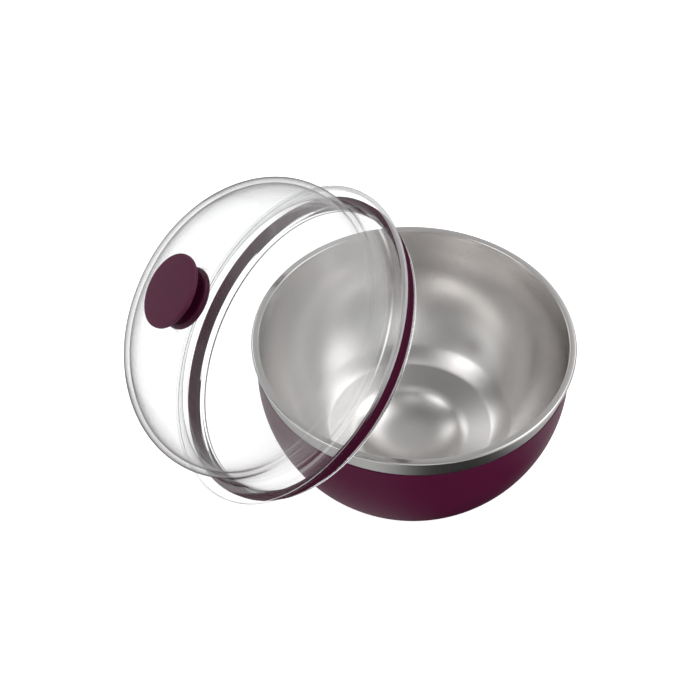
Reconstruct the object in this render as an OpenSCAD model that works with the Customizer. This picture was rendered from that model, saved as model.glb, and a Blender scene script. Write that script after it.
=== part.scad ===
// Insulated stainless serving bowl with a clear domed lid, millimetres, +Z up.
// The origin is the centre of the foot, on the surface that the bowl stands on.
// The lid is off the bowl: it leans over the lip, with the lip just inside its mouth.

/* [Bowl] */
// Diameter over the flat steel lip
bowl_d = 220; // [190:1:260]
// Height from the table to the top of the lip
bowl_h = 118; // [104:1:140]
// Width of the flat lip, from its outer edge to the mouth
lip_w = 5.2; // [4.8:0.1:7]
// Thickness of the lip, whose outer edge is rounded
lip_t = 2.6; // [2:0.1:4]
// How far the lip stands out over the widest part of the body
lip_overhang = 3.2; // [2.8:0.1:4]
// Depth of the straight stretch of the mouth that the gasket seals on
seat_depth = 16; // [14:1:22]
// Depth of the widest part of the body below the lip
belly_depth = 27.7; // [22:0.5:34]
// Diameter of the flat underside of the body
foot_d = 120; // [104:1:140]

/* [Bowl floor] */
// Height of the middle of the inside floor above the table
floor_gap = 15; // [13:0.5:22]
// Diameter of the soft crease where the inside wall meets the floor
crease_d = 126; // [112:1:140]
// Height of that crease above the middle of the floor
crease_rise = 13; // [11:0.5:18]
// Length of the blend at the crease, along the section
crease_blend = 14; // [8:1:18]
// Diameter of the shallow dish pressed into the middle of the floor
dish_d = 74; // [60:1:84]
// Height of the edge of that dish above its middle
dish_rise = 7; // [4:0.5:9]

/* [Walls] */
// Sheet thickness of the inner shell
inner_wall = 0.6; // [0.5:0.1:0.8]
// Sheet thickness of the outer shell
outer_wall = 0.7; // [0.5:0.1:0.8]
// Gap between the two shells just under the lip
rim_gap = 0.15; // [0.1:0.05:0.3]
// Thickness of the coloured coat on the outside
coat_t = 0.25; // [0.2:0.05:0.4]
// Height of the bare steel band between the lip and the coat
bare_band = 12.6; // [9:0.2:18]
// Thickness of the copper foil on the vacuum side of the inner shell
foil_t = 0.2; // [0.15:0.05:0.3]

/* [Base] */
// Diameter of the non-slip pad
pad_d = 100; // [84:1:102]
// Thickness of the pad
pad_t = 1.8; // [1.4:0.1:3]
// Gap between the pad or the base plate and the edge of the recess that holds it
base_gap = 0.6; // [0.3:0.1:1]
// Height of the recess in the underside of the outer shell
recess_h = 3; // [2.5:0.1:4]
// Thickness of the base plate
plate_t = 0.8; // [0.6:0.1:1]
// Diameter of the hole through which the air is drawn out
vent_d = 4; // [3:0.5:6]
// Diameter of the head of the bead that seals that hole
seal_head_d = 9; // [8:0.5:12]
// Height of the head of that bead
seal_head_h = 1.2; // [0.8:0.1:1.6]
// Diameter of the getter, the pellet that keeps the vacuum
getter_d = 12; // [8:1:16]
// Thickness of the getter
getter_t = 2; // [1.5:0.1:3]
// Distance of the getter from the middle
getter_out = 22; // [16:1:30]

/* [Lid shell] */
// How far the flange of the lid stands out past the lip, on the radius
flange_over = 0.4; // [0:0.1:2]
// Thickness of the flange
flange_t = 3.6; // [3:0.1:5]
// Wall thickness of the clear shell
lid_wall = 3.8; // [3:0.1:4.2]
// How far the dome is set in from the mouth, on the radius
dome_set = 4.4; // [3.6:0.1:6]
// Height of the widest part of the dome above the underside of the flange
dome_belly = 32.7; // [26:0.5:40]
// Height above the underside of the flange at which the skirt has drawn in to the dome's wall
skirt_h = 16.4; // [13:0.2:20]
// Width of the flat top of the flange, outside the skirt
flange_flat = 5; // [4:0.1:6]
// Rise of the curve that the dome's wall follows, from its widest part
dome_curve = 65.3; // [56:0.5:76]
// Turn along that curve at which the wall gives way to the shoulder, in degrees
shoulder_at = 41.6; // [36:0.5:48]
// Rise from there to the flat crown
crown_rise = 7.3; // [6:0.1:9]
// Radial gap between the mouth and the plug under the flange
plug_gap = 1.3; // [1:0.1:2]
// Depth of the plug below the flange
plug_depth = 14.8; // [13:0.1:16]

/* [Gasket] */
// Depth below the flange at which the gasket starts
gasket_from = 3.3; // [2.8:0.1:4]
// Height of the gasket
gasket_h = 7.4; // [6:0.1:8]
// Depth of the groove that holds it
groove_depth = 1.9; // [1.5:0.1:2.2]
// How much wider the relaxed gasket is than the mouth, on the radius
gasket_squeeze = 0.3; // [0.2:0.1:0.6]

/* [Knob] */
// Diameter of the cap of the knob
cap_d = 49.4; // [40:0.2:56]
// Thickness of the cap at its edge
cap_t = 4.4; // [3.6:0.1:6]
// Radius of the rounding round the cap
cap_round = 1.6; // [1:0.1:1.7]
// Diameter of the foot of the knob
knob_foot_d = 41.4; // [34:0.2:46]
// Thickness of the foot of the knob at its rounded edge
knob_foot_t = 5.2; // [4:0.1:6]
// Diameter of the waist of the knob
waist_d = 19; // [15:0.5:24]
// Height from the dome to the underside of the cap
cap_from = 12.7; // [11:0.1:16]
// Diameter of the spigot that joins the cap to the waist
spigot_d = 12; // [9:0.5:14]
// Depth of the spigot
spigot_h = 3; // [2:0.1:4]

/* [Fastening] */
// Diameter of the shank of the screw
screw_d = 4; // [3:0.5:5]
// Radial gap round the screw where it passes through the lid
screw_gap = 0.3; // [0.2:0.1:0.6]
// Depth that the screw reaches into the knob
screw_grip = 8; // [6:0.5:9]
// Diameter of the head of the screw
head_d = 8; // [7.5:0.1:9.5]
// Height of the head of the screw
head_h = 2.6; // [2:0.1:3.5]
// Diameter of the steel washer under the head
washer_d = 14; // [11:0.5:15]
// Thickness of the steel washer
washer_t = 1; // [0.8:0.1:1.5]
// Diameter of the soft seal between the washer and the lid
seal_d = 17; // [16:0.5:20]
// Thickness of the soft seal
seal_t = 1.6; // [1.2:0.1:2.4]

/* [Lid off the bowl] */
// Tilt of the lid from level, in degrees
lid_tilt = 47; // [40:1:55]
// Side to which the lid leans, in degrees from -X towards -Y
lid_turn = 15; // [0:1:30]
// Distance from the axis of the lid to the nearest point of the lip
lip_off_axis = 29.5; // [20:0.5:38]
// How far the lip reaches in past the underside of the flange
lip_inside = 2.9; // [0:0.1:8]

/* [Hidden] */
$fn = 120;
// Straight pieces in a long curve and in a short one
steps = 26;
few = 8;
// How far a cut runs past the face that it opens
over = 1;
bowl_r = bowl_d / 2;
mouth_r = bowl_r - lip_w;
belly_r = bowl_r - lip_overhang;
belly_z = bowl_h - belly_depth;
neck_z = bowl_h - lip_t;
neck_r = mouth_r + inner_wall + rim_gap + outer_wall;
skin_r = belly_r - coat_t;
coat_z = neck_z - bare_band;
foot_r = foot_d / 2;
foot_z = pad_t;
body_b = (belly_z - foot_z) / sqrt(1 - pow(foot_r / belly_r, 2));
foot_turn = acos(foot_r / belly_r);
seat_z = bowl_h - seat_depth;
crease_r = crease_d / 2;
crease_z = floor_gap + crease_rise;
bowl_b = (seat_z - crease_z) / sqrt(1 - pow(crease_r / mouth_r, 2));
crease_turn = acos(crease_r / mouth_r);
dish_r = dish_d / 2;
pad_r = pad_d / 2;
recess_r = pad_r + base_gap;
recess_z = foot_z + recess_h;
lip_round = lip_t / 2;
// Rounding at the inner edge of the lip
mouth_round = 0.8;
// The blend at the crease starts this many degrees before it along the wall
blend_before = 6;
// Slope of the side of the dish, in degrees, and length of the roll at its edge
dish_slope = 35;
dish_roll = 1.15 * dish_rise;
// How far below the straight stretch of the mouth the foil starts
foil_below = 6;

flange_r = bowl_r + flange_over;
plug_r = mouth_r - plug_gap;
groove_r = plug_r - groove_depth;
plug_in_r = groove_r - lid_wall;
dome_r = mouth_r - dome_set;
gasket_r = mouth_r + gasket_squeeze;
crown_z = dome_belly + dome_curve * sin(shoulder_at) + crown_rise;
// How far the flat crown stands out past the foot of the knob
crown_margin = 1.3;
crown_flat_r = knob_foot_d / 2 + crown_margin;
// How the skirt of the dome is drawn: out over the flange, then in and up to the wall
skirt_out = 1.5;
skirt_in = 1;
skirt_up = 4.5;
// How far the shoulder reaches towards its corner, from 0 to 1
shoulder_pull = 0.7;
// Bevel at the end of the plug, and how the inside of the dome runs down into it
plug_bevel = 1;
inside_in = 0.8;
inside_down = 7;
inside_low = 5;
cap_r = cap_d / 2;
waist_r = waist_d / 2;
screw_hole_r = screw_d / 2 + screw_gap;
under_z = crown_z - lid_wall;

lid_x = -bowl_r + lip_off_axis * cos(lid_tilt) + lip_inside * sin(lid_tilt);
lid_z = bowl_h + lip_off_axis * sin(lid_tilt) - lip_inside * cos(lid_tilt);

plum = [0.30, 0.10, 0.20];
steel = [0.76, 0.75, 0.73];

// Points of a path moved sideways by d, to the right of its direction
function moved(path, d) = [for (i = [0:len(path) - 1])
    let (a = path[max(i - 1, 0)], b = path[min(i + 1, len(path) - 1)], t = (b - a) / norm(b - a))
    path[i] + d * [t[1], -t[0]]];

function reversed(path) = [for (i = [len(path) - 1:-1:0]) path[i]];
function without_first(path) = [for (i = [1:len(path) - 1]) path[i]];
function without_last(path) = [for (i = [0:len(path) - 2]) path[i]];

// A curve of the third degree from a to d, drawn towards b and c
function bend(a, b, c, d, n) = [for (i = [0:n]) let (u = i / n)
    pow(1 - u, 3) * a + 3 * u * pow(1 - u, 2) * b + 3 * u * u * (1 - u) * c + pow(u, 3) * d];

function arc(centre, r, from, to, n) = [for (i = [0:n])
    centre + r * [cos(from + (to - from) * i / n), sin(from + (to - from) * i / n)]];

// Outside of the body, from the lip down to the flat underside
function neck_path(top_z) = [for (i = [0:few]) let (z = top_z + (belly_z - top_z) * i / few)
    [skin_r - (skin_r - neck_r) * pow((z - belly_z) / (neck_z - belly_z), 2), z]];
function side_path() = [for (i = [1:steps]) let (t = foot_turn * i / steps)
    [skin_r * cos(t), belly_z - body_b * sin(t)]];
function body_path(top_z) = concat(neck_path(top_z), side_path());

// Inside of the bowl, from the mouth down to the middle of the floor
function wall_turn_path(last) = [for (i = [1:steps]) let (t = last * i / steps)
    [mouth_r * cos(t), seat_z - bowl_b * sin(t)]];
blend_turn = crease_turn - blend_before;
blend_start = [mouth_r * cos(blend_turn), seat_z - bowl_b * sin(blend_turn)];
crease = [crease_r, crease_z];
dish_edge = [dish_r, floor_gap + dish_rise];
floor_dir = (dish_edge - crease) / norm(dish_edge - crease);
slope_dir = [-cos(dish_slope), -sin(dish_slope)];
blend_end = crease + crease_blend / 2 * floor_dir;
function floor_path() = concat(
    bend(blend_start, (blend_start + crease) / 2, (crease + blend_end) / 2, blend_end, few),
    bend(dish_edge - dish_roll * floor_dir, dish_edge - dish_roll / 3 * floor_dir,
        dish_edge + dish_roll / 3 * slope_dir, dish_edge + dish_roll * slope_dir, few),
    without_first(bend(dish_edge + dish_roll * slope_dir, dish_edge + 1.5 * dish_roll * slope_dir,
        [dish_r * 0.4, floor_gap], [0, floor_gap], few)));
function inside_path() = concat([[mouth_r, neck_z], [mouth_r, seat_z]],
    without_last(wall_turn_path(blend_turn)), floor_path());

// Outside of the dome, from the flange up to the middle of the crown
dome_start = -asin((dome_belly - skirt_h) / dome_curve);
wall_start = [dome_r * cos(dome_start), skirt_h];
skirt_edge = [flange_r - flange_flat, flange_t];
wall_end = [dome_r * cos(shoulder_at), dome_belly + dome_curve * sin(shoulder_at)];
wall_dir = [-dome_r * sin(shoulder_at), dome_curve * cos(shoulder_at)];
wall_corner = wall_end + wall_dir * crown_rise / wall_dir[1];
crown_edge = [crown_flat_r, crown_z];
function dome_path() = concat(
    bend(skirt_edge, [wall_start[0] + skirt_out, flange_t],
        [wall_start[0] - skirt_in, flange_t + skirt_up], wall_start, few),
    [for (i = [1:steps - 1]) let (t = dome_start + (shoulder_at - dome_start) * i / steps)
        [dome_r * cos(t), dome_belly + dome_curve * sin(t)]],
    bend(wall_end, wall_end + shoulder_pull * (wall_corner - wall_end),
        crown_edge + shoulder_pull * (wall_corner - crown_edge), crown_edge, 2 * few));

module turned(points) {
    rotate_extrude() polygon(points);
}

module on_lid() {
    rotate([0, 0, lid_turn]) translate([lid_x, 0, lid_z]) rotate([0, -lid_tilt, 0]) children();
}

// Inner bowl, drawn from one sheet, with its lip turned out over the outer shell
module inner_shell() {
    color(steel) turned(concat(
        arc([mouth_r + mouth_round, bowl_h - mouth_round], mouth_round, 90, 180, 6),
        inside_path(),
        [[0, floor_gap - inner_wall]],
        reversed([for (p = moved(inside_path(), -inner_wall)) if (p[0] > 0.01 && p[1] < seat_z + 0.01) p]),
        [[mouth_r + inner_wall, neck_z]],
        arc([bowl_r - lip_round, bowl_h - lip_round], lip_round, -90, 90, 12)));
}

// Outer body of the bowl, bare at the top, with a recess underneath for the base plate
module outer_shell() {
    skin = body_path(neck_z);
    under = moved(skin, outer_wall);
    color(steel) difference() {
        turned(concat(skin, [[recess_r, foot_z], [recess_r, recess_z], [0, recess_z],
            [0, recess_z + outer_wall], [recess_r + outer_wall, recess_z + outer_wall],
            [recess_r + outer_wall, foot_z + outer_wall]],
            reversed([for (p = under) if (p[1] > foot_z + outer_wall) [min(p[0], belly_r), min(p[1], neck_z)]])));
        translate([0, 0, recess_z - over]) cylinder(d = vent_d, h = outer_wall + 2 * over);
    }
}

// Coloured coat on the outer shell, from the bare band down to the flat underside
module colour_coat() {
    skin = body_path(coat_z);
    color(plum) turned(concat(skin, reversed(moved(skin, -coat_t))));
}

// Copper foil on the vacuum side of the inner shell
module copper_foil() {
    top = seat_z - foil_below;
    wall = [for (p = moved(inside_path(), -inner_wall)) if (p[0] > 0.01 && p[1] < top) p];
    foil = [for (p = moved(inside_path(), -inner_wall - foil_t)) if (p[0] > 0.01 && p[1] < top) p];
    color([0.72, 0.43, 0.28]) turned(concat(wall, [[0, floor_gap - inner_wall]],
        [[0, floor_gap - inner_wall - foil_t]], reversed(foil)));
}

// Pellet that takes up stray gas, fixed on the floor of the outer shell
module getter() {
    color([0.45, 0.45, 0.47]) translate([getter_out, 0, recess_z + outer_wall])
        cylinder(d = getter_d, h = getter_t);
}

// Bead that closes the hole through which the air was drawn out
module vacuum_seal() {
    color([0.55, 0.50, 0.40]) union() {
        translate([0, 0, recess_z]) cylinder(d = vent_d, h = outer_wall);
        translate([0, 0, recess_z - seal_head_h]) cylinder(d = seal_head_d, h = seal_head_h);
    }
}

// Plate that covers the bead, with an edge that stands on the roof of the recess
module base_plate() {
    plate_r = recess_r - base_gap / 2;
    color(steel) difference() {
        translate([0, 0, foot_z]) cylinder(r = plate_r, h = recess_h);
        translate([0, 0, foot_z + plate_t]) cylinder(r = plate_r - plate_t, h = recess_h);
    }
}

// Soft pad under the base plate, on which the bowl stands
module base_pad() {
    color([0.16, 0.16, 0.17]) cylinder(r = pad_r, h = pad_t);
}

// Clear lid: dome, flange and plug in one piece, drilled for the screw of the knob
module lid_shell() {
    skin = dome_path();
    under = [for (p = moved(skin, -lid_wall)) if (p[1] > skirt_h) p];
    inside = bend(under[0], under[0] - [inside_in, inside_down], [plug_in_r, inside_low],
        [plug_in_r, plug_bevel - plug_depth], few);
    groove_top = -gasket_from;
    groove_end = -gasket_from - gasket_h;
    edge = flange_t / 2;
    color([0.85, 0.88, 0.90, 0.35]) on_lid() difference() {
        turned(concat(
            inside,
            [[plug_in_r + plug_bevel, -plug_depth], [plug_r - plug_bevel, -plug_depth],
            [plug_r, plug_bevel - plug_depth], [plug_r, groove_end], [groove_r, groove_end],
            [groove_r, groove_top], [plug_r, groove_top], [plug_r, 0]],
            arc([flange_r - edge, edge], edge, -90, 90, 12),
            skin,
            [[0, crown_z], [0, under_z]],
            reversed(under)));
        translate([0, 0, under_z - over]) cylinder(r = screw_hole_r, h = lid_wall + 2 * over);
    }
}

// Silicone gasket in the groove of the plug, with two soft lips
module lid_gasket() {
    top = -gasket_from;
    low = top - gasket_h;
    middle = (top + low) / 2;
    stem_r = plug_r + 0.4;
    lip_from = 0.3;
    lip_round = 1;
    lip_h = gasket_h * 0.27;
    valley = 0.5;
    color(plum) on_lid() turned(concat(
        [[groove_r, low]],
        bend([stem_r, low], [gasket_r, low + lip_from], [gasket_r, low + lip_round],
            [gasket_r, low + lip_h], few),
        [[gasket_r - valley, middle]],
        bend([gasket_r, top - lip_h], [gasket_r, top - lip_round], [gasket_r, top - lip_from],
            [stem_r, top], few),
        [[groove_r, top]]));
}

// Body of the knob: a round foot on the dome, drawn in to a waist under the cap
module knob_body() {
    foot_r = knob_foot_d / 2;
    half = knob_foot_t / 2;
    foot_top = [foot_r - 1.5 * half, knob_foot_t];
    waist_from = 0.7 * cap_from;
    waist_to = 0.85 * cap_from;
    flare = [3.2, 0.8];
    color(plum) on_lid() translate([0, 0, crown_z]) difference() {
        turned(concat([[0, 0]],
            bend([foot_r - 0.8 * half, 0], [foot_r, 0], [foot_r, half / 2], [foot_r, half], few),
            without_first(bend([foot_r, half], [foot_r, 1.6 * half], [foot_r - 0.6 * half, knob_foot_t],
                foot_top, few)),
            without_first(bend(foot_top, [waist_r + flare[1], knob_foot_t + flare[1]],
                [waist_r, waist_from - flare[1]], [waist_r, waist_from], few)),
            bend([waist_r, waist_to], [waist_r, cap_from - flare[1]],
                [waist_r + flare[0] / 2, cap_from], [waist_r + flare[0], cap_from], few),
            [[0, cap_from]]));
        translate([0, 0, -over]) cylinder(d = screw_d, h = screw_grip + over);
        translate([0, 0, cap_from - spigot_h]) cylinder(d = spigot_d, h = spigot_h + over);
    }
}

// Cap of the knob, a round disc with a spigot pressed into the waist
module knob_cap() {
    under_r = cap_r - 4.5;
    side_z = cap_t - cap_round - 0.6;
    crown = 0.15;
    color([0.36, 0.15, 0.25]) on_lid() translate([0, 0, crown_z + cap_from]) union() {
        turned(concat([[0, 0]],
            bend([under_r, 0], [cap_r - cap_round, 0], [cap_r, side_z / 3], [cap_r, side_z], few),
            arc([cap_r - cap_round, cap_t - cap_round], cap_round, 0, 84, few),
            [[cap_r - cap_t, cap_t + crown], [0, cap_t + crown]]));
        translate([0, 0, -spigot_h]) cylinder(d = spigot_d, h = spigot_h);
    }
}

// Screw that holds the knob from inside the lid
module knob_screw() {
    head_top = under_z - seal_t - washer_t;
    drive_d = 0.4 * head_d;
    color(steel) on_lid() difference() {
        union() {
            translate([0, 0, head_top]) cylinder(d = screw_d, h = crown_z + screw_grip - head_top);
            translate([0, 0, head_top - head_h]) cylinder(d = head_d, h = head_h);
        }
        translate([0, 0, head_top - head_h - over])
            cylinder(d = drive_d, h = head_h / 2 + over, $fn = 6);
    }
}

// Steel washer under the head of the screw
module knob_washer() {
    color(steel) on_lid() translate([0, 0, under_z - seal_t - washer_t]) difference() {
        cylinder(d = washer_d, h = washer_t);
        translate([0, 0, -over]) cylinder(r = screw_hole_r, h = washer_t + 2 * over);
    }
}

// Soft seal between the washer and the inside of the dome
module knob_seal() {
    color(plum) on_lid() translate([0, 0, under_z - seal_t]) difference() {
        cylinder(d = seal_d, h = seal_t);
        translate([0, 0, -over]) cylinder(r = screw_hole_r, h = seal_t + 2 * over);
    }
}

inner_shell();
outer_shell();
colour_coat();
copper_foil();
getter();
vacuum_seal();
base_plate();
base_pad();
lid_shell();
lid_gasket();
knob_body();
knob_cap();
knob_screw();
knob_washer();
knob_seal();
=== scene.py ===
import math
import bpy
from mathutils import Euler, Matrix, Vector


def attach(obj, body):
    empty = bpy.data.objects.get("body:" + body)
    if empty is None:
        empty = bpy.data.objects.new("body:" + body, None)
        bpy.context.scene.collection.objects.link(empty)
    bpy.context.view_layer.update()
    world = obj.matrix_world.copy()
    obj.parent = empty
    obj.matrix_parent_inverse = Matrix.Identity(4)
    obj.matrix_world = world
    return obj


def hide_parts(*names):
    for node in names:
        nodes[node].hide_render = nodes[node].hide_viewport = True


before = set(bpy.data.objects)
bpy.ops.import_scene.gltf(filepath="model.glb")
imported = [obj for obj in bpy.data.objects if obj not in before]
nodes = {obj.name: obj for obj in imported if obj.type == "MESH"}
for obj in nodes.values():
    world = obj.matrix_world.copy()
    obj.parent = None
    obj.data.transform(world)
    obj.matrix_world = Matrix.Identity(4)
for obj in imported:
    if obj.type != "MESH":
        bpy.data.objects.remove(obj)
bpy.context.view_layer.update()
print("frame loaded:", len(nodes), "nodes")

mm = 0.001
scene = bpy.context.scene


# Camera, fitted to the ellipses of the lip, the foot and the lid

shot = {
    "place": (-0.04315, -0.76170, 0.93527),   # metres
    "pitch": 0.8281215,                       # downwards, radians
    "lens": 85.0,
    "sensor": 36.0,
    "clipFrom": 0.01,
    "clipTo": 60.0,
}

eye = bpy.data.cameras.new("eye")
eye.lens = shot["lens"]
eye.sensor_width = shot["sensor"]
eye.clip_start = shot["clipFrom"]
eye.clip_end = shot["clipTo"]
eyeObject = bpy.data.objects.new("eye", eye)
eyeObject.location = shot["place"]
eyeObject.rotation_euler = Euler((math.pi / 2 - shot["pitch"], 0, 0))
scene.collection.objects.link(eyeObject)
scene.camera = eyeObject
scene.view_settings.view_transform = "Standard"


# A socket that takes part in sums, so that shader maths reads as plain expressions
class Flow:
    def __init__(self, brush, socket):
        self.brush = brush
        self.socket = socket

    def maths(self, operation, other, turned=False):
        pair = (other, self) if turned else (self, other)
        return self.brush.add("ShaderNodeMath", {"operation": operation}, {0: pair[0], 1: pair[1]})

    def alone(self, operation):
        return self.brush.add("ShaderNodeMath", {"operation": operation}, {0: self})

    def __add__(self, other):
        return self.maths("ADD", other)

    def __radd__(self, other):
        return self.maths("ADD", other, True)

    def __sub__(self, other):
        return self.maths("SUBTRACT", other)

    def __rsub__(self, other):
        return self.maths("SUBTRACT", other, True)

    def __mul__(self, other):
        return self.maths("MULTIPLY", other)

    def __rmul__(self, other):
        return self.maths("MULTIPLY", other, True)

    def __truediv__(self, other):
        return self.maths("DIVIDE", other)

    def __rtruediv__(self, other):
        return self.maths("DIVIDE", other, True)

    def __pow__(self, other):
        return self.maths("POWER", other)

    def __rpow__(self, other):
        return self.maths("POWER", other, True)

    def __neg__(self):
        return 0.0 - self

    def __abs__(self):
        return self.alone("ABSOLUTE")

    def largest(self, other):
        return self.maths("MAXIMUM", other)

    # What a noise adds to a value that lies in the middle of its spread
    def swing(self, spread):
        return spread * (self - 0.5)


def rgba(colour, share=1.0):
    return (*[channel * share for channel in colour], 1.0)


# Adds nodes to one tree, and wires them
class Brush:
    def __init__(self, tree):
        self.tree = tree
        tree.nodes.clear()

    def add(self, kind, settings=None, inputs=None, out=0):
        node = self.tree.nodes.new(kind)
        for key, value in (settings or {}).items():
            setattr(node, key, value)
        for key, value in (inputs or {}).items():
            if isinstance(value, Flow):
                self.tree.links.new(value.socket, node.inputs[key])
            else:
                node.inputs[key].default_value = value
        return Flow(self, node.outputs[out]) if node.outputs else node

    # The named outputs of one node
    def several(self, names, kind, inputs=None):
        outputs = self.add(kind, {}, inputs).socket.node.outputs
        return [Flow(self, outputs[name]) for name in names]

    def split(self, vector):
        return self.several(("X", "Y", "Z"), "ShaderNodeSeparateXYZ", {0: vector})

    def onObject(self):
        return self.add("ShaderNodeTexCoord", out="Object")

    def noise(self, place, scale, detail=2.0, roughness=0.5):
        return self.add("ShaderNodeTexNoise", {}, {
            "Vector": place, "Scale": scale, "Detail": detail, "Roughness": roughness})

    def step(self, value, low, high):
        return self.add("ShaderNodeMapRange", {"interpolation_type": "SMOOTHSTEP"}, {
            "Value": value, "From Min": low, "From Max": high, "To Min": 0.0, "To Max": 1.0})

    def vector(self, operation, *values, out="Value"):
        return self.add("ShaderNodeVectorMath", {"operation": operation}, dict(enumerate(values)), out)

    def mixColour(self, mask, first, second):
        return self.add("ShaderNodeMix", {"data_type": "RGBA"}, {0: mask, 6: first, 7: second}, out=2)

    # One colour between a darker and a lighter share of itself
    def toned(self, mask, colour, darkest, lightest):
        return self.mixColour(mask, rgba(colour, darkest), rgba(colour, lightest))

    def bump(self, height, strength, distance):
        return self.add("ShaderNodeBump", {}, {
            "Strength": strength, "Distance": distance, "Height": height})

    def principled(self, inputs):
        return self.add("ShaderNodeBsdfPrincipled", {}, inputs)

    def transparent(self, colour):
        return self.add("ShaderNodeBsdfTransparent", {}, {"Color": rgba(colour)})

    def mixShader(self, mask, first, second):
        return self.add("ShaderNodeMixShader", {}, {0: mask, 1: first, 2: second})

    def surface(self, shader):
        self.add("ShaderNodeOutputMaterial", {}, {"Surface": shader})


def newBrush(name):
    material = bpy.data.materials.new(name)
    material.use_nodes = True
    return material, Brush(material.node_tree)


# Studio: white behind the object, a grey room with soft light panels

white = (1, 1, 1, 1)
studio = {
    "room": 0.158,            # grey of the room
    "backdropTo": 0.30,       # the white backdrop ends at this height, as the sine of the elevation
    "backdropFade": 0.35,
    "panels": [
        # azimuth from the camera's side towards +X, elevation, how tight, strength
        (-80, 60, 44.0, 3.0),
        (122, 55, 44.0, 2.8),
        (-72, 14, 12.0, 0.9),
        (77, 35, 16.0, 1.6),
        (4, 40, 18.0, 0.8),
        (180, 12, 8.0, 0.4),
        (180, 50, 40.0, 0.16),
        (-146, 38, 60.0, 1.9),     # this one and the next give the lights in the dish
        (147, 39, 60.0, 1.5),
        (0, 88, 100.0, 0.55),      # straight above, for the crease
    ],
    "metalShare": 0.12,       # how much of the white backdrop the metal mirrors
}


def buildWorld():
    world = bpy.data.worlds.new("studio")
    scene.world = world
    world.use_nodes = True
    brush = Brush(world.node_tree)
    where = brush.add("ShaderNodeTexCoord", out="Generated")
    room = studio["room"]
    for azimuth, elevation, tightness, strength in studio["panels"]:
        turn, lift = math.radians(azimuth), math.radians(elevation)
        aim = (math.sin(turn) * math.cos(lift), -math.cos(turn) * math.cos(lift), math.sin(lift))
        towards = brush.vector("DOT_PRODUCT", where, aim)
        room = room + strength * ((towards - 1.0) * tightness).alone("EXPONENT")
    cameraRay, glossyRay, clearRay = brush.several(
        ("Is Camera Ray", "Is Glossy Ray", "Is Transmission Ray"), "ShaderNodeLightPath")
    height = brush.split(where)[2]
    backdrop = 1 - brush.step(height, studio["backdropTo"], studio["backdropTo"] + studio["backdropFade"])
    whiteMask = cameraRay.largest(clearRay * backdrop).largest(studio["metalShare"] * glossyRay * backdrop)
    roomColour = brush.add("ShaderNodeCombineColor", {}, {"Red": room, "Green": room, "Blue": room})
    seen = brush.mixColour(whiteMask, roomColour, white)
    light = brush.add("ShaderNodeBackground", {}, {"Color": seen, "Strength": 1.0})
    brush.add("ShaderNodeOutputWorld", {}, {"Surface": light})


ground = {
    "reach": 4.0,
    "colour": (0.86, 0.86, 0.86),
    "glow": 0.89,
    "mirrored": 0.10,         # how bright the metal sees it, outside the dark wedge
    # painted shade: a dark wedge on the floor before the bowl, which widens towards the front and which only
    # mirrors see
    "wedgeShadeColour": (0.06, 0.06, 0.06),
    "wedgeMiddle": 0.075,
    "wedgeWidth": 0.045,
    "wedgeWidening": 0.13,
    "wedgeLeast": 0.02,
    "wedgeStart": (0.0, 0.08),
    "wedgeSides": (0.7, 2.2),   # fades out between these shares of its width
}


def paleFloor():
    material, brush = newBrush("paleFloor")
    cameraRay, glossyRay, clearRay = brush.several(
        ("Is Camera Ray", "Is Glossy Ray", "Is Transmission Ray"), "ShaderNodeLightPath")
    x, y = brush.split(brush.onObject())[:2]
    # painted shade on the floor before the bowl, which only mirrors see
    width = (ground["wedgeWidth"] - ground["wedgeWidening"] * y).largest(ground["wedgeLeast"])
    aside = abs(x - ground["wedgeMiddle"]) / width
    wedge = brush.step(-y, *ground["wedgeStart"]) * (1 - brush.step(aside, *ground["wedgeSides"]))
    pale = brush.mixColour(glossyRay * wedge, rgba(ground["colour"]), rgba(ground["wedgeShadeColour"]))
    matte = brush.add("ShaderNodeBsdfDiffuse", {}, {"Color": pale, "Roughness": 0.0})
    strength = ground["glow"] * cameraRay.largest(clearRay) + ground["mirrored"] * glossyRay * (1 - wedge)
    glow = brush.add("ShaderNodeEmission", {}, {"Color": white, "Strength": strength})
    brush.surface(brush.add("ShaderNodeAddShader", {}, {0: matte, 1: glow}))
    return material


buildWorld()
reach = ground["reach"]
floorMesh = bpy.data.meshes.new("floor")
floorMesh.from_pydata([(-reach, -reach, 0), (reach, -reach, 0), (reach, reach, 0), (-reach, reach, 0)],
                      [], [(0, 1, 2, 3)])
floorMesh.materials.append(paleFloor())
floor = bpy.data.objects.new("floor", floorMesh)
scene.collection.objects.link(floor)
print("stage ready")


# Profiles: lists of (radius, height) in millimetres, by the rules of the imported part

# A curve from a to d, with b and c as its handles
def bend(a, b, c, d, count):
    points = []
    for i in range(count + 1):
        u = i / count
        w = ((1 - u) ** 3, 3 * u * (1 - u) ** 2, 3 * u * u * (1 - u), u ** 3)
        points.append(tuple(w[0] * a[k] + w[1] * b[k] + w[2] * c[k] + w[3] * d[k] for k in (0, 1)))
    return points


def arc(centre, radius, start, end, count):
    turns = [math.radians(start + (end - start) * i / count) for i in range(count + 1)]
    return [(centre[0] + radius * math.cos(t), centre[1] + radius * math.sin(t)) for t in turns]


# The path moved sideways, to the right of its course
def shifted(path, distance):
    moved = []
    for i, point in enumerate(path):
        a, b = path[max(i - 1, 0)], path[min(i + 1, len(path) - 1)]
        dx, dz = b[0] - a[0], b[1] - a[1]
        size = math.hypot(dx, dz)
        moved.append((point[0] + distance * dz / size, point[1] - distance * dx / size))
    return moved


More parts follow.
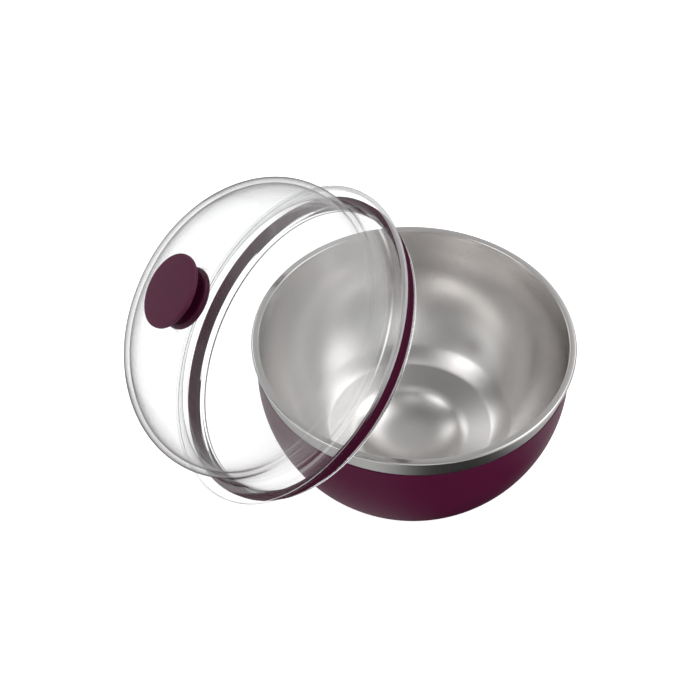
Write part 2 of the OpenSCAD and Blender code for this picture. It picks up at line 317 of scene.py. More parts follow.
# A corner with a small rounding, and a support point at each side of it
def corner(before, at, after, cut, count=4):
    def towards(other):
        dx, dz = other[0] - at[0], other[1] - at[1]
        size = math.hypot(dx, dz)
        return dx / size, dz / size

    def along(way, distance):
        return at[0] + way[0] * distance, at[1] + way[1] * distance

    back, on = towards(before), towards(after)
    support = 1.5 * cut
    start, end = along(back, cut), along(on, cut)
    points = [along(back, support)]
    for i in range(count + 1):
        t = i / count
        w = ((1 - t) ** 2, 2 * t * (1 - t), t * t)
        points.append(tuple(w[0] * start[k] + w[1] * at[k] + w[2] * end[k] for k in (0, 1)))
    return points + [along(on, support)]


def rounded(points, cut, count=4):
    last = len(points) - 1
    path = [points[0]]
    for i in range(1, last):
        path += corner(points[i - 1], points[i], points[i + 1], cut, count)
    return path + [points[last]]


def closed(path):
    return path + path[:1]


# One Geometry Nodes tree turns every profile: the object's mesh is the profile, one point after another
def turnedTree():
    tree = bpy.data.node_groups.new("turnedPiece", "GeometryNodeTree")
    sockets = {}
    for name, kind in (("Profile", "NodeSocketGeometry"), ("Sides", "NodeSocketInt"),
                       ("Weld", "NodeSocketFloat"), ("Finish", "NodeSocketMaterial")):
        sockets[name] = tree.interface.new_socket(name, in_out="INPUT", socket_type=kind).identifier
    tree.interface.new_socket("Piece", in_out="OUTPUT", socket_type="NodeSocketGeometry")
    brush = Brush(tree)
    profile, sides, weld, finish = brush.several(("Profile", "Sides", "Weld", "Finish"), "NodeGroupInput")
    count = brush.add("GeometryNodeAttributeDomainSize", {"component": "MESH"}, {"Geometry": profile})
    grid = brush.add("GeometryNodeMeshGrid", {}, {
        "Size X": 1.0, "Size Y": 1.0, "Vertices X": sides + 1, "Vertices Y": count})
    index = brush.add("GeometryNodeInputIndex")
    column = (index / count).alone("FLOOR")
    row = index - column * count
    angle = column * (2 * math.pi) / sides
    position = brush.add("GeometryNodeInputPosition")
    point = brush.add("GeometryNodeSampleIndex", {"data_type": "FLOAT_VECTOR", "domain": "POINT"}, {
        "Geometry": profile, "Value": position, "Index": row})
    radius, height = brush.split(point)[::2]
    spun = brush.add("ShaderNodeCombineXYZ", {}, {
        "X": radius * angle.alone("COSINE"), "Y": radius * angle.alone("SINE"), "Z": height})
    placed = brush.add("GeometryNodeSetPosition", {}, {"Geometry": grid, "Position": spun})
    welded = brush.add("GeometryNodeMergeByDistance", {}, {"Geometry": placed, "Distance": weld})
    faces = brush.add("GeometryNodeInputMeshEdgeNeighbors")
    loose = brush.add("FunctionNodeCompare", {"data_type": "INT", "operation": "EQUAL"}, {"A": faces, "B": 0})
    clean = brush.add("GeometryNodeDeleteGeometry", {"domain": "EDGE"}, {
        "Geometry": welded, "Selection": loose})
    smooth = brush.add("GeometryNodeSetShadeSmooth", {}, {"Geometry": clean})
    real = brush.add("GeometryNodeRealizeInstances", {}, {"Geometry": smooth})
    done = brush.add("GeometryNodeSetMaterial", {}, {"Geometry": real, "Material": finish})
    brush.add("NodeGroupOutput", {}, {"Piece": done})
    return tree, sockets


turnTree, turnSockets = turnedTree()
weldGap = 0.002   # closes the seam and the poles


# A finished piece from its profile, which runs anticlockwise so that the faces point outwards
def turned(name, profile, sides, finish, place=None):
    area = sum(r0 * z1 - r1 * z0 for (r0, z0), (r1, z1) in zip(profile, profile[1:] + profile[:1]))
    if area < 0:
        profile = profile[::-1]
    mesh = bpy.data.meshes.new(name + "Profile")
    mesh.from_pydata([(r * mm, 0, z * mm) for r, z in profile],
                     [(i, i + 1) for i in range(len(profile) - 1)], [])
    draft = bpy.data.objects.new(name + "Profile", mesh)
    scene.collection.objects.link(draft)
    modifier = draft.modifiers.new("turned", "NODES")
    modifier.node_group = turnTree
    modifier[turnSockets["Sides"]] = sides
    modifier[turnSockets["Weld"]] = weldGap * mm
    modifier[turnSockets["Finish"]] = finish
    result = bpy.data.meshes.new_from_object(draft.evaluated_get(bpy.context.evaluated_depsgraph_get()))
    bpy.data.objects.remove(draft)
    bpy.data.meshes.remove(mesh)
    if place is not None:
        result.transform(place)
    result.name = name
    piece = bpy.data.objects.new(name, result)
    scene.collection.objects.link(piece)
    return piece


# Finishes of the bowl

satin = {
    "colour": (0.806, 0.788, 0.775), "darkest": 0.95, "lightest": 1.04,
    "roughness": 0.24, "cloudScale": 14.0, "cloudSpread": 0.01,
    "grainScale": 1100.0, "grainSpread": 0.02, "grainHeight": 0.000006, "grainStrength": 0.35,
    # the lip above the first height, in metres, is smoother
    "lip": (0.1145, 0.1165), "lipRoughness": 0.16, "lipSpread": 0.06, "lipPolish": 0.8,
}

band = {
    "colour": (0.62, 0.62, 0.61), "darkest": 0.92, "lightest": 1.05,
    "roughness": 0.30, "anisotropic": 0.6, "cloudScale": 20.0, "cloudSpread": 0.04,
    "lineScale": 60.0, "lineStretch": 60.0, "lineSpread": 0.10,
    "lineHeight": 0.00001, "lineStrength": 0.10,
}


def satinSteel():
    material, brush = newBrush("blastedSatinSteel")
    place = brush.onObject()
    height = brush.split(place)[2]
    grain = brush.noise(place, satin["grainScale"], detail=3.0, roughness=0.6)
    cloud = brush.noise(place, satin["cloudScale"], detail=3.0)
    lip = brush.step(height, *satin["lip"])
    rough = satin["roughness"] + cloud.swing(satin["cloudSpread"]) + grain.swing(satin["grainSpread"])
    rough = rough * (1 - lip) + lip * (satin["lipRoughness"] + grain.swing(satin["lipSpread"]))
    brush.surface(brush.principled({
        "Base Color": brush.toned(cloud, satin["colour"], satin["darkest"], satin["lightest"]),
        "Metallic": 1.0, "Roughness": rough,
        "Normal": brush.bump(grain * (1 - satin["lipPolish"] * lip), satin["grainStrength"],
                             satin["grainHeight"])}))
    return material


def bandSteel():
    material, brush = newBrush("brushedBandSteel")
    place = brush.onObject()
    stretched = brush.add("ShaderNodeMapping", {}, {
        "Vector": place, "Scale": (1.0, 1.0, band["lineStretch"])})
    lines = brush.noise(stretched, band["lineScale"], detail=4.0, roughness=0.7)
    cloud = brush.noise(place, band["cloudScale"])
    rough = band["roughness"] + lines.swing(band["lineSpread"]) + cloud.swing(band["cloudSpread"])
    brush.surface(brush.principled({
        "Base Color": brush.toned(lines, band["colour"], band["darkest"], band["lightest"]),
        "Metallic": 1.0, "Roughness": rough, "Anisotropic": band["anisotropic"],
        "Normal": brush.bump(lines, band["lineStrength"], band["lineHeight"])}))
    return material


# Plum finishes: the coat of the bowl, the gasket and both pieces of the knob

plum = {
    "plumPowderCoat": {
        "colour": (0.13, 0.0088, 0.053), "roughness": 0.32, "specular": 0.1,
        "peelScale": 900.0, "peelHeight": 0.00002},
    "plumSilicone": {
        "colour": (0.080, 0.0056, 0.031), "roughness": 0.50, "specular": 0.06,
        "peelScale": 1400.0, "peelHeight": 0.00001},
    "knobSatin": {
        "colour": (0.118, 0.0107, 0.049), "roughness": 0.50, "specular": 0.42,
        "peelScale": 1800.0, "peelHeight": 0.00001},
    "knobGloss": {
        "colour": (0.080, 0.0056, 0.031), "roughness": 0.28, "specular": 0.3,
        "peelScale": 1800.0, "peelHeight": 0.000004},
}
plumGrain = {
    "cloudScale": 24.0, "cloudSpread": 0.05, "darkest": 0.94, "lightest": 1.06,
    "peelSpread": 0.06, "peelStrength": 0.3,
}


def plumFinish(name):
    wanted = plum[name]
    material, brush = newBrush(name)
    place = brush.onObject()
    peel = brush.noise(place, wanted["peelScale"])
    cloud = brush.noise(place, plumGrain["cloudScale"])
    rough = wanted["roughness"] + cloud.swing(plumGrain["cloudSpread"]) + peel.swing(plumGrain["peelSpread"])
    brush.surface(brush.principled({
        "Base Color": brush.toned(cloud, wanted["colour"], plumGrain["darkest"], plumGrain["lightest"]),
        "Roughness": rough, "Specular IOR Level": wanted["specular"],
        "Normal": brush.bump(peel, plumGrain["peelStrength"], wanted["peelHeight"])}))
    return material


# Plain grainy finishes of what lies inside and underneath

plain = {
    # colour, metallic, roughness, scale and height of the grain
    "copperFoil": ((0.80, 0.44, 0.30), 1.0, 0.22, 300.0, 0.00002),
    "sinteredGetter": ((0.32, 0.32, 0.33), 1.0, 0.6, 1600.0, 0.00004),
    "solderGlass": ((0.30, 0.26, 0.18), 0.0, 0.3, 500.0, 0.00002),
    "screwSteel": ((0.62, 0.62, 0.63), 1.0, 0.26, 700.0, 0.00001),
    "padRubber": ((0.035, 0.035, 0.037), 0.0, 0.7, 1200.0, 0.00003),
}
metalGrain = {"darkest": 0.85, "lightest": 1.1, "spread": 0.12, "strength": 0.3}
softGrain = {"darkest": 0.85, "lightest": 1.15, "spread": 0.10, "strength": 0.3}


def plainFinish(name):
    colour, metallic, roughness, scale, height = plain[name]
    kind = metalGrain if metallic else softGrain
    material, brush = newBrush(name)
    grain = brush.noise(brush.onObject(), scale, detail=3.0, roughness=0.6)
    brush.surface(brush.principled({
        "Base Color": brush.toned(grain, colour, kind["darkest"], kind["lightest"]),
        "Metallic": metallic, "Roughness": roughness + grain.swing(kind["spread"]),
        "Normal": brush.bump(grain, kind["strength"], height)}))
    return material


# Bowl

bowl = {
    "sides": 288,
    "lipRadius": 110.0, "height": 118.0, "lipWidth": 5.2, "lipThickness": 2.6, "mouthRound": 0.8,
    "seatHeight": 102.0,                      # below it the inside wall curves in
    "underNeck": 4.0, "overSeat": 2.0,        # rows that keep the straight mouth straight
    "creaseRadius": 63.0, "creaseHeight": 28.0,
    "blendBefore": 6.0,                       # degrees of the wall's curve that the soft crease takes
    "blendAfter": 6.0,                        # length that it takes of the floor
    "floorHeight": 15.0,
    # radius, height over the floor and slope in degrees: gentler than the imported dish
    "dish": [(0, -0.2, 0), (24, 1.8, 14), (35, 5.7, 26), (43, 8.5, 12.5)],
    "bellyRadius": 106.8, "bellyHeight": 90.3, "footRadius": 60.0, "footHeight": 1.8,
    "innerWall": 0.6, "outerWall": 0.7, "rimGap": 0.15, "coat": 0.25, "bareBand": 12.6,
    "recessRadius": 50.6, "recessHeight": 4.8, "ventRadius": 2.0,
    "neckSteps": 12, "bellySteps": 64, "wallSteps": 80,
}

mouthRadius = bowl["lipRadius"] - bowl["lipWidth"]
neckHeight = bowl["height"] - bowl["lipThickness"]
skinRadius = bowl["bellyRadius"] - bowl["coat"]
neckRadius = mouthRadius + bowl["innerWall"] + bowl["rimGap"] + bowl["outerWall"]
footTurn = math.acos(bowl["footRadius"] / bowl["bellyRadius"])
bodyDepth = (bowl["bellyHeight"] - bowl["footHeight"]) / math.sin(footTurn)
creaseTurn = math.acos(bowl["creaseRadius"] / mouthRadius)
wallDepth = (bowl["seatHeight"] - bowl["creaseHeight"]) / math.sin(creaseTurn)


# Outside of the outer shell, from the given height down to the foot
def bodyPath(top):
    belly = bowl["bellyHeight"]
    span = neckHeight - belly
    path = []
    for i in range(bowl["neckSteps"] + 1):
        z = top + (belly - top) * i / bowl["neckSteps"]
        path.append((skinRadius - (skinRadius - neckRadius) * ((z - belly) / span) ** 2, z))
    for i in range(1, bowl["bellySteps"] + 1):
        t = footTurn * i / bowl["bellySteps"]
        path.append((skinRadius * math.cos(t), belly - bodyDepth * math.sin(t)))
    return path


# One stretch of the dish, between two of its rows
def dishStretch(outer, inner):
    third = (outer[0] - inner[0]) / 3
    start = (outer[0], bowl["floorHeight"] + outer[1])
    end = (inner[0], bowl["floorHeight"] + inner[1])
    return bend(start, (start[0] - third, start[1] - third * math.tan(math.radians(outer[2]))),
                (end[0] + third, end[1] + third * math.tan(math.radians(inner[2]))), end, count=14)


# Inside of the bowl, from the neck down to the middle of the dish
def insidePath():
    last = creaseTurn - math.radians(bowl["blendBefore"])
    path = [(mouthRadius, neckHeight), (mouthRadius, neckHeight - bowl["underNeck"]),
            (mouthRadius, bowl["seatHeight"] + bowl["overSeat"])]
    for i in range(bowl["wallSteps"] + 1):
        t = last * i / bowl["wallSteps"]
        path.append((mouthRadius * math.cos(t), bowl["seatHeight"] - wallDepth * math.sin(t)))
    rows = bowl["dish"][::-1]
    crease = Vector((bowl["creaseRadius"], bowl["creaseHeight"]))
    edge = Vector((rows[0][0], bowl["floorHeight"] + rows[0][1]))
    start = Vector(path.pop())
    end = crease + bowl["blendAfter"] * (edge - crease).normalized()
    path += bend(start, (start + crease) / 2, (crease + end) / 2, end, count=16)
    stretches = [dishStretch(outer, inner) for outer, inner in zip(rows, rows[1:])]
    path += stretches[0]
    for stretch in stretches[1:]:
        path += stretch[1:]
    return path


lipRound = bowl["lipThickness"] / 2
mouthRound = bowl["mouthRound"]
slack = 0.01
inside = insidePath()
under = [p for p in shifted(inside, -bowl["innerWall"]) if p[0] > slack and p[1] < bowl["seatHeight"] + slack]
innerProfile = (
    arc((mouthRadius + mouthRound, bowl["height"] - mouthRound), mouthRound, start=90, end=180, count=8)
    + inside + [(0, bowl["floorHeight"] - bowl["innerWall"])] + under[::-1]
    + [(mouthRadius + bowl["innerWall"], neckHeight)]
    + arc((bowl["lipRadius"] - lipRound, bowl["height"] - lipRound), lipRound, start=-90, end=90, count=14)
)
innerShell = turned("innerShell", closed(innerProfile), bowl["sides"], satinSteel())

steelBand = bandSteel()
recess, wall = bowl["recessRadius"], bowl["outerWall"]
skin = bodyPath(neckHeight)
lining = [(min(p[0], bowl["bellyRadius"]), min(p[1], neckHeight)) for p in shifted(skin, wall)
          if p[1] > bowl["footHeight"] + wall]
outerProfile = skin + [
    (recess, bowl["footHeight"]), (recess, bowl["recessHeight"]), (bowl["ventRadius"], bowl["recessHeight"]),
    (bowl["ventRadius"], bowl["recessHeight"] + wall), (recess + wall, bowl["recessHeight"] + wall),
    (recess + wall, bowl["footHeight"] + wall)] + lining[::-1]
outerShell = turned("outerShell", closed(outerProfile), bowl["sides"], steelBand)

coatSkin = bodyPath(neckHeight - bowl["bareBand"])
coatOut = shifted(coatSkin, -bowl["coat"])
powderCoat = plumFinish("plumPowderCoat")
colourCoat = turned("colourCoat", closed(coatSkin + coatOut[::-1]), bowl["sides"], powderCoat)


# Pad under the bowl, with ring grooves and a hollow middle

pad = {
    "sides": 160, "radius": 50.0, "height": 1.8, "rounding": 0.18,
    "grooves": 5, "firstGroove": 3.0, "grooveStep": 4.0, "grooveWidth": 1.8, "depth": 0.5, "slant": 0.5,
    "hollowRadius": 24.0, "hollowSlant": 0.6,
}

padOutline = [(pad["radius"], pad["height"]), (pad["radius"], 0)]
for groove in range(pad["grooves"]):
    outer = pad["radius"] - pad["firstGroove"] - pad["grooveStep"] * groove
    inner = outer - pad["grooveWidth"]
    padOutline += [(outer, 0), (outer - pad["slant"], pad["depth"]),
                   (inner + pad["slant"], pad["depth"]), (inner, 0)]
hollow = pad["hollowRadius"]
padOutline += [(hollow, 0), (hollow - pad["hollowSlant"], pad["depth"]), (0, pad["depth"])]
padProfile = [(0, pad["height"])] + rounded(padOutline, pad["rounding"], count=3)
basePad = turned("basePad", padProfile, pad["sides"], plainFinish("padRubber"))
print("bowl turned")


# Lid: heights from the underside of its flange

lid = {
    "sides": 272,
    "tilt": 47.0, "turn": 15.0,
    "lipOffAxis": 29.5, "lipInside": 2.9,     # the bowl's lip lies this far off the axis, this far inside
    "flangeOver": 0.4, "flangeThickness": 3.6, "flangeFlat": 5.0,
    "filletOut": 1.5, "filletIn": 1.0, "filletRise": 4.5,     # handles of the fillet between flange and dome
    "wall": 3.8, "domeSet": 4.4, "domeBelly": 32.7, "domeCurve": 65.3, "domeSteps": 72, "skirtHeight": 16.4,
    "shoulderAt": 41.6, "crownRise": 7.3, "crownMargin": 1.3, "crownPull": 0.7,
    "skirtIn": 0.8, "skirtDrop": 7.0, "skirtLow": 5.0, "skirtEnd": 0.5,     # the same for the skirt's inside
    "plugGap": 1.3, "plugDepth": 14.8, "plugBevel": 1.0, "edgeRound": 0.22,
    "screwHoleRadius": 2.3, "holeRound": 0.2,
    "airGap": 0.04,           # left between the clear shell and what stands on it
}

gasket = {
    "from": 3.3, "height": 7.4, "grooveDepth": 1.9,
    "squeeze": 0.3,           # how much wider than the mouth
    "press": 0.03,            # how far it presses into its groove
    # rows and handles of its section
    "rootRow": 0.8, "stemOut": 0.4, "lipShare": 0.27, "lipHandles": (0.3, 1.0),
    "waistDepth": 0.5, "waistRound": 0.25,
}

knob = {
    "sides": 192,
    "capRadius": 24.7, "capThickness": 4.4, "capRound": 1.6, "capCrown": 0.15, "capFrom": 12.7,
    # rows and handles of the cap's underside, edge and faint crown
    "capSide": 0.6, "capUnder": 4.5, "capRow": 6.0, "capTurn": 84.0, "crownStart": 0.07, "crownIn": 1.2,
    "spigotRadius": 6.0, "spigotHeight": 3.0, "screwRadius": 2.0, "screwGrip": 8.0,
    "footRadius": 20.7, "footThickness": 5.2,
    # shares of half the foot's thickness
    "footRow": 1.2, "footUnder": 0.8, "shoulderRise": 1.6, "shoulderIn": 0.6, "shoulderEnd": 1.5,
    # shares of the height of the cap, then the handles' length and the width of the flare
    "waistRadius": 9.5, "waistFrom": 0.7, "waistTo": 0.85, "waistPull": 0.8, "flare": 3.2,
}

flangeRadius = bowl["lipRadius"] + lid["flangeOver"]
plugRadius = mouthRadius - lid["plugGap"]
grooveRadius = plugRadius - gasket["grooveDepth"]
plugInside = grooveRadius - lid["wall"]
domeRadius = mouthRadius - lid["domeSet"]
gasketRadius = mouthRadius + gasket["squeeze"]
shoulder = math.radians(lid["shoulderAt"])
crownHeight = lid["domeBelly"] + lid["domeCurve"] * math.sin(shoulder) + lid["crownRise"]
underCrown = crownHeight - lid["wall"]
crownRadius = knob["footRadius"] + lid["crownMargin"]
gap = lid["airGap"]

tilt, turn = math.radians(lid["tilt"]), math.radians(lid["turn"])
lidX = -bowl["lipRadius"] + lid["lipOffAxis"] * math.cos(tilt) + lid["lipInside"] * math.sin(tilt)
lidZ = bowl["height"] + lid["lipOffAxis"] * math.sin(tilt) - lid["lipInside"] * math.cos(tilt)
onLid = (Matrix.Rotation(turn, 4, "Z") @ Matrix.Translation((lidX * mm, 0, lidZ * mm))
         @ Matrix.Rotation(-tilt, 4, "Y"))
onCrown = onLid @ Matrix.Translation((0, 0, crownHeight * mm))

# Clear plastic: radii and heights in metres on the lid, shares of light from 0 to 1

clear = {
    "tint": (0.985, 0.988, 0.988), "ior": 1.49, "shadow": (0.93, 0.93, 0.93),
    "roughness": 0.004, "roughSpread": 0.008, "mottleScale": 40.0, "mottleDarkest": 0.997,
    # share that the wall mirrors face on, its rise towards the edge, and how much of it the plug keeps
    "mirrorFace": 0.012, "mirrorPower": 4.5, "mirrorRoughness": 0.02, "plugMirror": 0.3,
    # painted shade where the wall is seen along its length, up to a thin painted dark outline
    "edgeShade": (0.16, 0.13, 0.14), "edgePower": 5.0, "edgeShare": 0.85,
    "outlineShade": (0.05, 0.03, 0.04), "lineFrom": 0.75, "lineShare": 0.9,
    # the mirror, the painted edge shade and the outline are weaker on the side over the bowl, between these
    # two places along X: painted light and shade that change from one side to the other
    "fade": (-0.09, -0.01), "fadeShare": 0.8,
    # milky haze of the dome, stronger at its edge, and painted light over the bowl, where the veil is
    # stronger
    "haze": 0.015, "hazeEdge": 0.08, "hazeColour": (0.95, 0.95, 0.95),
    "nearLightVeil": 0.26, "near": (-0.16, 0.01),
    "dome": (0.0042, 0.0082),     # the dome begins between these heights
    # the two corners of the flange's rim: half their distance, how soft, a strong mirror that gives a painted
    # highlight line, and a painted dark line
    "rimCorner": 0.0009, "rimFade": 0.0004, "rimMirror": 0.85, "rimLine": 0.8, "rimFacing": (0.5, 0.9),
    # painted light: a light strip on the raised side of the flange; and a line of light along the fillet
    # under the dome
    "stripLight": 0.55, "stripRadius": (0.1073, 0.1076), "stripClimb": (0.035, 0.075),
    "filletMirror": 0.25, "filletLow": (0.0034, 0.0038), "filletHigh": (0.0048, 0.0053),
    # the end of the plug begins between these heights
    "plugEnd": (-0.0109, -0.0106),
}


# Light passes straight through the lid, as through a thin wall, and only the end of the plug bends it
def clearPlastic():
    material, brush = newBrush("clearPlastic")
    place = brush.onObject()
    x = brush.split(place)[0]
    mottle = brush.noise(place, clear["mottleScale"], detail=3.0)
    glass = brush.principled({
        "Base Color": brush.toned(mottle, clear["tint"], 1.0, clear["mottleDarkest"]),
        "Roughness": clear["roughness"] + clear["roughSpread"] * mottle,
        "IOR": clear["ior"], "Transmission Weight": 1.0})

    # Place on the lid: distance from its axis, height over the flange's underside, climb to its raised side
    axis = (onLid.to_3x3() @ Vector((0, 0, 1))).normalized()
    upward = (onLid.to_3x3() @ Vector((1, 0, 0))).normalized()
    fromAxis = brush.vector("SUBTRACT", place, tuple(onLid.translation), out="Vector")
    height = brush.vector("DOT_PRODUCT", fromAxis, tuple(axis))
    climb = brush.vector("DOT_PRODUCT", fromAxis, tuple(upward))
    across = brush.vector("CROSS_PRODUCT", fromAxis, tuple(axis), out="Vector")
    radius = brush.vector("LENGTH", across)

    facing = brush.add("ShaderNodeLayerWeight", {}, {"Blend": 0.5}, out="Facing")
    # painted light and shade: the mirror, edge shade and outline are weaker on the side over the bowl
    fade = 1 - clear["fadeShare"] * brush.step(x, *clear["fade"])
    onDome = brush.step(height, *clear["dome"])
    outside = flangeRadius * mm - clear["rimCorner"]
    rim = brush.step(radius, outside, outside + clear["rimFade"])
    level = abs(height - lid["flangeThickness"] / 2 * mm)
    rimCorner = rim * brush.step(level, clear["rimCorner"], clear["rimCorner"] + clear["rimFade"])
    # painted light: a light strip on the raised side of the flange
    strip = brush.step(radius, *clear["stripRadius"]) * brush.step(climb, *clear["stripClimb"])
    fillet = brush.step(height, *clear["filletLow"]) * (1 - brush.step(height, *clear["filletHigh"]))

    # painted shade where the wall is seen edge-on
    edge = clear["edgeShare"] * fade * facing ** clear["edgePower"]
    body = brush.mixShader(edge, brush.transparent(clear["tint"]), brush.transparent(clear["edgeShade"]))

    # painted light: a stronger veil on the side over the bowl
    near = clear["nearLightVeil"] * brush.step(x, *clear["near"])
    veil = onDome * (clear["haze"] + clear["hazeEdge"] * facing * facing + near)
    veil = veil.largest(clear["stripLight"] * strip)
    cloud = brush.add("ShaderNodeBsdfDiffuse", {}, {"Color": rgba(clear["hazeColour"])})
    hazed = brush.mixShader(veil, body, cloud)

    mirror = clear["mirrorFace"] + (1 - clear["mirrorFace"]) * facing ** clear["mirrorPower"]
    mirror = mirror * fade * (clear["plugMirror"] + (1 - clear["plugMirror"]) * onDome)
    # painted highlights: a strong mirror along the rim's corners, and the line of light along the fillet
    mirror = mirror.largest(clear["rimMirror"] * rimCorner).largest(clear["filletMirror"] * fillet)
    gloss = brush.add("ShaderNodeBsdfGlossy", {}, {"Color": white, "Roughness": clear["mirrorRoughness"]})
    seen = brush.mixShader(mirror, hazed, gloss)

    # a thin painted dark outline where the wall is seen edge-on
    line = clear["lineShare"] * fade * brush.step(facing, clear["lineFrom"], 1.0)
    # painted dark line along the rim's corners
    line = line.largest(clear["rimLine"] * rimCorner * brush.step(facing, *clear["rimFacing"]))
    thin = brush.mixShader(line, seen, brush.transparent(clear["outlineShade"]))

    solid = 1 - brush.step(height, *clear["plugEnd"])
    moulded = brush.mixShader(solid, thin, glass)
    shadowRay, diffuseRay = brush.several(("Is Shadow Ray", "Is Diffuse Ray"), "ShaderNodeLightPath")
    through = brush.transparent(clear["shadow"])
    brush.surface(brush.mixShader(shadowRay.largest(diffuseRay), moulded, through))
    return material


# Outside of the dome, from the flange up to the flat crown
def domePath():
    start = -math.asin((lid["domeBelly"] - lid["skirtHeight"]) / lid["domeCurve"])
    wallStart = (domeRadius * math.cos(start), lid["skirtHeight"])
    edge = (flangeRadius - lid["flangeFlat"], lid["flangeThickness"])
    wallEnd = Vector((domeRadius * math.cos(shoulder), crownHeight - lid["crownRise"]))
    along = Vector((-domeRadius * math.sin(shoulder), lid["domeCurve"] * math.cos(shoulder)))
    wallCorner = wallEnd + along * (lid["crownRise"] / along[1])
    crown = Vector((crownRadius, crownHeight))
    pull = lid["crownPull"]
    path = bend(edge, (wallStart[0] + lid["filletOut"], edge[1]),
                (wallStart[0] - lid["filletIn"], edge[1] + lid["filletRise"]), wallStart, count=20)
    for i in range(1, lid["domeSteps"]):
        t = start + (shoulder - start) * i / lid["domeSteps"]
        path.append((domeRadius * math.cos(t), lid["domeBelly"] + lid["domeCurve"] * math.sin(t)))
    path += bend(wallEnd, wallEnd + pull * (wallCorner - wallEnd),
                 crown + pull * (wallCorner - crown), crown, count=30)
    return path


dome = domePath()
underDome = [p for p in shifted(dome, -lid["wall"]) if p[1] > lid["skirtHeight"]]
flangeEdge = lid["flangeThickness"] / 2
grooveTop = -gasket["from"]
grooveEnd = grooveTop - gasket["height"]
plugEnd, bevel = -lid["plugDepth"], lid["plugBevel"]
skirtInside = bend(underDome[0], (underDome[0][0] - lid["skirtIn"], underDome[0][1] - lid["skirtDrop"]),
                   (plugInside, lid["skirtLow"]), (plugInside, plugEnd + bevel + lid["skirtEnd"]), count=24)
plugOutline = rounded([
    skirtInside[-1], (plugInside, plugEnd + bevel), (plugInside + bevel, plugEnd),
    (plugRadius - bevel, plugEnd), (plugRadius, plugEnd + bevel),
    (plugRadius, grooveEnd), (grooveRadius, grooveEnd), (grooveRadius, grooveTop), (plugRadius, grooveTop),
    (plugRadius, 0), (flangeRadius - flangeEdge, 0)], lid["edgeRound"])
hole = lid["screwHoleRadius"]
crownOutline = rounded([dome[-1], (hole, crownHeight), (hole, underCrown + gap),
                        (underDome[-1][0], underCrown + gap)], lid["holeRound"])
lidProfile = (skirtInside[:-1] + plugOutline[:-1]
              + arc((flangeRadius - flangeEdge, flangeEdge), flangeEdge, start=-90, end=90, count=16)
              + dome[:-1] + crownOutline + underDome[::-1])
lidShell = turned("lidShell", closed(lidProfile), lid["sides"], clearPlastic(), onLid)

# Gasket: two soft lips with a waist between them

silicone = plumFinish("plumSilicone")
press = gasket["press"]
low, top = grooveEnd - press, grooveTop + press
lipHeight = (top - low) * gasket["lipShare"]
softer, fuller = gasket["lipHandles"]
lowerHalf = [(grooveRadius - press, low), (grooveRadius + gasket["rootRow"], low)] + bend(
    (plugRadius + gasket["stemOut"], low), (gasketRadius, low + softer), (gasketRadius, low + fuller),
    (gasketRadius, low + lipHeight), count=10)
upperHalf = [(r, low + top - z) for r, z in lowerHalf[::-1]]
waist = corner(lowerHalf[-1], (gasketRadius - gasket["waistDepth"], (top + low) / 2), upperHalf[0],
               gasket["waistRound"])
lidGasket = turned("lidGasket", closed(lowerHalf + waist + upperHalf), lid["sides"], silicone, onLid)
print("lid turned")


# Knob: heights from the crown of the dome

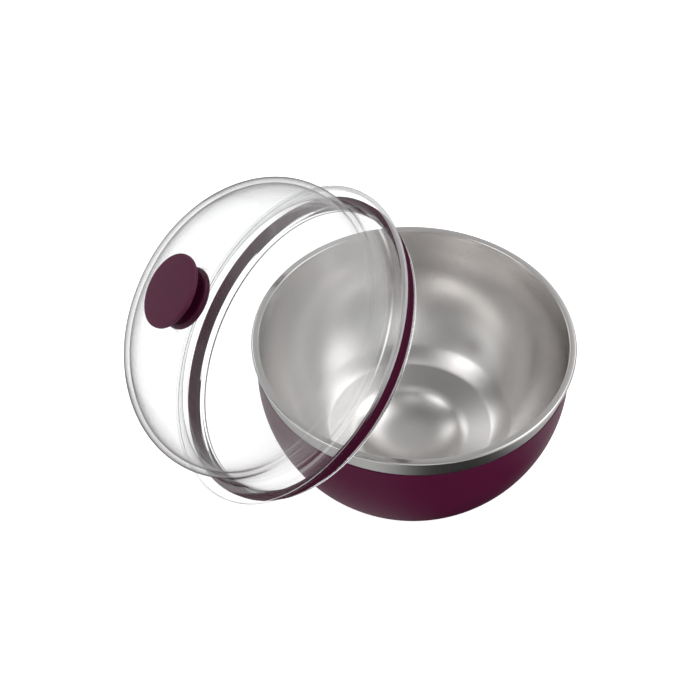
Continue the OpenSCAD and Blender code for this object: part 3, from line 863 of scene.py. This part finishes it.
foot, neck, capFrom = knob["footRadius"], knob["waistRadius"], knob["capFrom"]
thickness, half = knob["footThickness"], knob["footThickness"] / 2
footTop = (foot - knob["shoulderEnd"] * half, thickness)
waistLow, waistHigh, pull = knob["waistFrom"] * capFrom, knob["waistTo"] * capFrom, knob["waistPull"]
flare, underCap = knob["flare"], capFrom - gap
spigot, sunk = knob["spigotRadius"], capFrom - knob["spigotHeight"]
bodyProfile = (
    [(0, knob["screwGrip"]), (knob["screwRadius"], knob["screwGrip"]), (knob["screwRadius"], gap),
     (foot - knob["footRow"] * half, gap)]
    + bend((foot - knob["footUnder"] * half, gap), (foot, gap), (foot, half / 2), (foot, half), count=10)
    + bend((foot, half), (foot, knob["shoulderRise"] * half), (foot - knob["shoulderIn"] * half, thickness),
           footTop, count=10)[1:]
    + bend(footTop, (neck + pull, thickness + pull), (neck, waistLow - pull), (neck, waistLow), count=16)[1:]
    + bend((neck, waistHigh), (neck, capFrom - pull), (neck + flare / 2, underCap), (neck + flare, underCap),
           count=10)
    + [(spigot, underCap), (spigot, sunk), (0, sunk)]
)
knobBody = turned("knobBody", bodyProfile, knob["sides"], plumFinish("knobGloss"), onCrown)

cap, thick, edge = knob["capRadius"], knob["capThickness"], knob["capRound"]
sideTop, crownTop = thick - edge - knob["capSide"], thick + knob["capCrown"]
capProfile = (
    [(0, -knob["spigotHeight"]), (spigot, -knob["spigotHeight"]), (spigot, 0), (cap - knob["capRow"], 0)]
    + bend((cap - knob["capUnder"], 0), (cap - edge, 0), (cap, sideTop / 3), (cap, sideTop), count=12)
    + arc((cap - edge, thick - edge), edge, start=0, end=knob["capTurn"], count=10)
    + [(cap - edge - knob["crownIn"], thick + knob["crownStart"]), (cap - thick, crownTop), (0, crownTop)]
)
capProfile = [(r, z + capFrom) for r, z in capProfile]
knobCap = turned("knobCap", capProfile, knob["sides"], plumFinish("knobSatin"), onCrown)
print("knob turned")


# What each piece stands for, and what it moves with

for piece, node, body, slot in (
    (innerShell, "inner_shell", "bowl", "satin_steel"),
    (outerShell, "outer_shell", "bowl", "body_steel"),
    (colourCoat, "colour_coat", "bowl", "plum_coat"),
    (basePad, "base_pad", "bowl", "pad_rubber"),
    (lidShell, "lid_shell", "lid", "clear_plastic"),
    (lidGasket, "lid_gasket", "lid", "plum_silicone"),
    (knobBody, "knob_body", "lid", "plum_knob"),
    (knobCap, "knob_cap", "lid", "plum_knob"),
):
    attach(piece, body)
    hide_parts(node)
    print(piece.name, len(piece.data.polygons), "faces")

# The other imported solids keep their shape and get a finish

screwSteel = plainFinish("screwSteel")
for node, finish in (
    ("copper_foil", plainFinish("copperFoil")),
    ("getter", plainFinish("sinteredGetter")),
    ("vacuum_seal", plainFinish("solderGlass")),
    ("base_plate", steelBand),
    ("knob_screw", screwSteel),
    ("knob_washer", screwSteel),
    ("knob_seal", silicone),
):
    for place in nodes[node].material_slots:
        place.material = finish
print("finishes ready")
